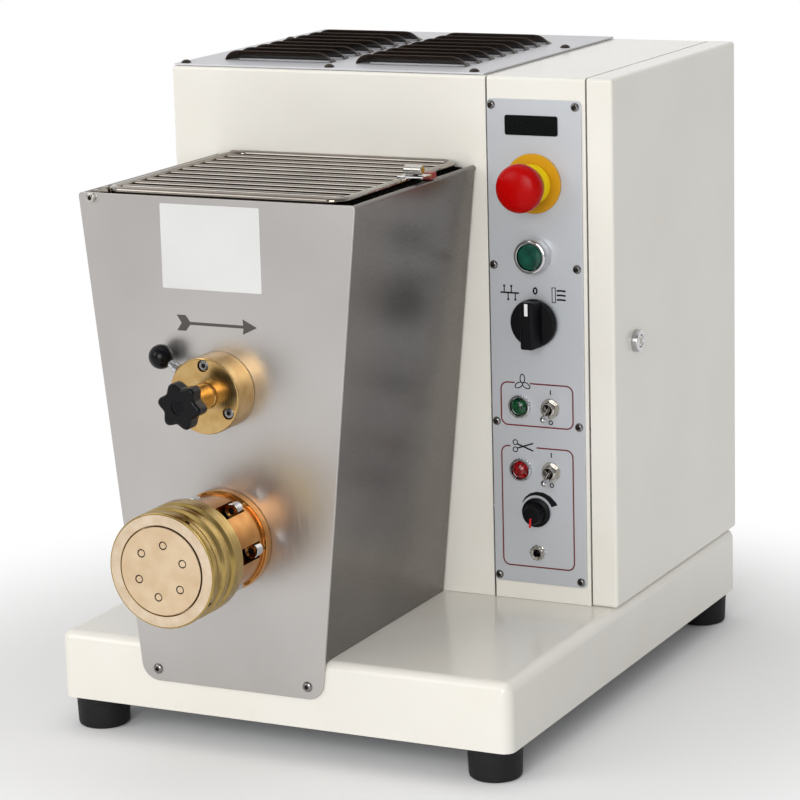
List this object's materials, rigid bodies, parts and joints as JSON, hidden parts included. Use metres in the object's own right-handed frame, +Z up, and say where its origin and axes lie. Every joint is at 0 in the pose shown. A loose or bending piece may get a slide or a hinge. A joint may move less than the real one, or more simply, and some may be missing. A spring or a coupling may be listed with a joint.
{
  "type": "electric_pasta_maker",
  "caption": "Electric pasta maker: kneading tank with hinged grille lid and bronze die extruder on a cream steel tower with side control panel, door and vented top.",
  "frame": {"origin": "Middle of the whole object's outline, on the floor under its feet.", "axes": "+Z up, +Y to the back, -Y to the front with the extruder, +X to the control panel's side."},
  "size_m": [0.415, 0.638, 0.5401],
  "materials": {
    "cream_paint": "gloss",
    "vent_paint": "satin",
    "rubber": "matte",
    "brushed_steel": "brushed",
    "silver_plate": "satin",
    "chrome": "polished",
    "brass": "turned",
    "bronze": "turned",
    "zinc": "satin",
    "dark_screw": "satin",
    "motor_casing": "matte",
    "switchgear": "matte",
    "black_plastic": "matte",
    "yellow_plastic": "gloss",
    "red_plastic": "gloss",
    "green_lens": "gloss",
    "red_lens": "gloss"
  },
  "bodies": {
    "machine": {"base_tray": "cream_paint", "base_bottom_plate": "zinc", "foot_front_left": "rubber", "foot_front_right": "rubber", "foot_rear_left": "rubber", "foot_rear_right": "rubber", "main_cover": "cream_paint", "vent_plate": "vent_paint", "control_column": "cream_paint", "cable_gland": "black_plastic", "door_hinge": "zinc", "control_plate": "silver_plate", "e_stop_collar": "yellow_plastic", "start_button_bezel": "chrome", "selector_bezel": "black_plastic", "fan_lamp_bezel": "chrome", "cutter_lamp_bezel": "chrome", "fan_lamp_lens": "green_lens", "cutter_lamp_lens": "red_lens", "fan_toggle_body": "zinc", "cutter_toggle_body": "zinc", "jack_socket": "chrome", "hopper_front_plate": "brushed_steel", "hopper_shell": "brushed_steel", "mixing_tank": "brushed_steel", "lid_hinge_rod": "dark_screw", "lid_sensor": "red_plastic", "mixer_flange": "brass", "extruder_barrel": "bronze", "barrel_bolt_1": "chrome", "barrel_bolt_2": "chrome", "barrel_bolt_3": "chrome", "barrel_bolt_4": "chrome", "barrel_bolt_5": "chrome", "barrel_bolt_6": "chrome", "die_body": "brass", "drive_frame": "zinc", "gearmotor": "motor_casing", "fan_frame": "black_plastic", "electrical_panel": "switchgear"},
    "lid": {"grille_lid": "brushed_steel", "lid_magnet": "chrome"},
    "star_knob_body": {"star_knob": "black_plastic"},
    "plunger": {"lock_plunger": "chrome"},
    "mixer": {"mixer_shaft": "brushed_steel", "mixer_gear": "brushed_steel"},
    "extrusion_screw": {"auger": "brushed_steel", "auger_gear": "brushed_steel"},
    "nut": {"ring_nut": "brass"},
    "e_stop_push": {"e_stop_stem": "black_plastic"},
    "e_stop_twist": {"e_stop_head": "red_plastic"},
    "start_button": {"start_button_lens": "green_lens"},
    "selector": {"selector_knob": "black_plastic"},
    "fan_toggle": {"fan_toggle_lever": "chrome"},
    "cutter_toggle": {"cutter_toggle_lever": "chrome"},
    "speed_control": {"speed_knob": "black_plastic"},
    "door": {"side_door": "cream_paint", "door_lock_body": "chrome"},
    "lock_core": {"door_lock_core": "chrome"},
    "fan": {"fan_rotor": "black_plastic"}
  },
  "joints": [
    {"name": "lid_hinge", "type": "hinge", "parent": "machine", "child": "lid", "pos_m": [-0.1551, -0.102, 0.451], "axis": [0, -1, 0], "range_deg": [0, 100]},
    {"name": "star_knob_turn", "type": "hinge", "parent": "machine", "child": "star_knob_body", "pos_m": [-0.0435, -0.258, 0.302], "axis": [0, 1, 0], "continuous": true},
    {"name": "plunger_pull", "type": "slide", "parent": "machine", "child": "plunger", "axis": [-0.866, 0, 0.5], "range_m": [0, 0.006], "stiffness_N_per_m": 800, "springref_m": -0.004},
    {"name": "mixer_turn", "type": "hinge", "parent": "machine", "child": "mixer", "pos_m": [-0.0435, -0.058, 0.302], "axis": [0, 1, 0], "continuous": true},
    {"name": "auger_turn", "type": "hinge", "parent": "machine", "child": "extrusion_screw", "pos_m": [-0.0435, -0.058, 0.1795], "axis": [0, 1, 0], "continuous": true},
    {"name": "ring_nut_turn", "type": "hinge", "parent": "machine", "child": "nut", "pos_m": [-0.0435, -0.294, 0.1795], "axis": [0, 1, 0], "continuous": true},
    {"name": "e_stop_press", "type": "slide", "parent": "machine", "child": "e_stop_push", "axis": [0, 1, 0], "range_m": [0, 0.005], "stiffness_N_per_m": 600, "springref_m": -0.002},
    {"name": "e_stop_release_twist", "type": "hinge", "parent": "e_stop_push", "child": "e_stop_twist", "pos_m": [0.1325, -0.0221, 0.4418], "axis": [0, 1, 0], "range_deg": [0, 45], "stiffness_Nm_per_rad": 0.05},
    {"name": "start_button_press", "type": "slide", "parent": "machine", "child": "start_button", "axis": [0, 1, 0], "range_m": [0, 0.004], "stiffness_N_per_m": 400, "springref_m": -0.002},
    {"name": "selector_turn", "type": "hinge", "parent": "machine", "child": "selector", "pos_m": [0.1325, -0.0021, 0.3255], "axis": [0, 1, 0], "range_deg": [-45, 45]},
    {"name": "fan_toggle_flip", "type": "hinge", "parent": "machine", "child": "fan_toggle", "pos_m": [0.1447, 0.0059, 0.253], "axis": [-1, 0, 0], "range_deg": [0, 50]},
    {"name": "cutter_toggle_flip", "type": "hinge", "parent": "machine", "child": "cutter_toggle", "pos_m": [0.1447, 0.0059, 0.1985], "axis": [-1, 0, 0], "range_deg": [0, 50]},
    {"name": "speed_knob_turn", "type": "hinge", "parent": "machine", "child": "speed_control", "pos_m": [0.1308, 0.0019, 0.1625], "axis": [0, 1, 0], "range_deg": [0, 300]},
    {"name": "door_hinge_swing", "type": "hinge", "parent": "machine", "child": "door", "pos_m": [0.1935, 0.2895, 0.307], "axis": [0, 0, 1], "range_deg": [0, 110]},
    {"name": "lock_turn", "type": "hinge", "parent": "door", "child": "lock_core", "pos_m": [0.1975, 0.056, 0.3055], "axis": [1, 0, 0], "range_deg": [0, 90]},
    {"name": "fan_turn", "type": "hinge", "parent": "machine", "child": "fan", "pos_m": [-0.1224, 0.142, 0.51], "axis": [0, 0, 1], "continuous": true}
  ],
  "couplings": [
    {"joint": "auger_turn", "follows": "mixer_turn", "ratio": -1.5}
  ]
}
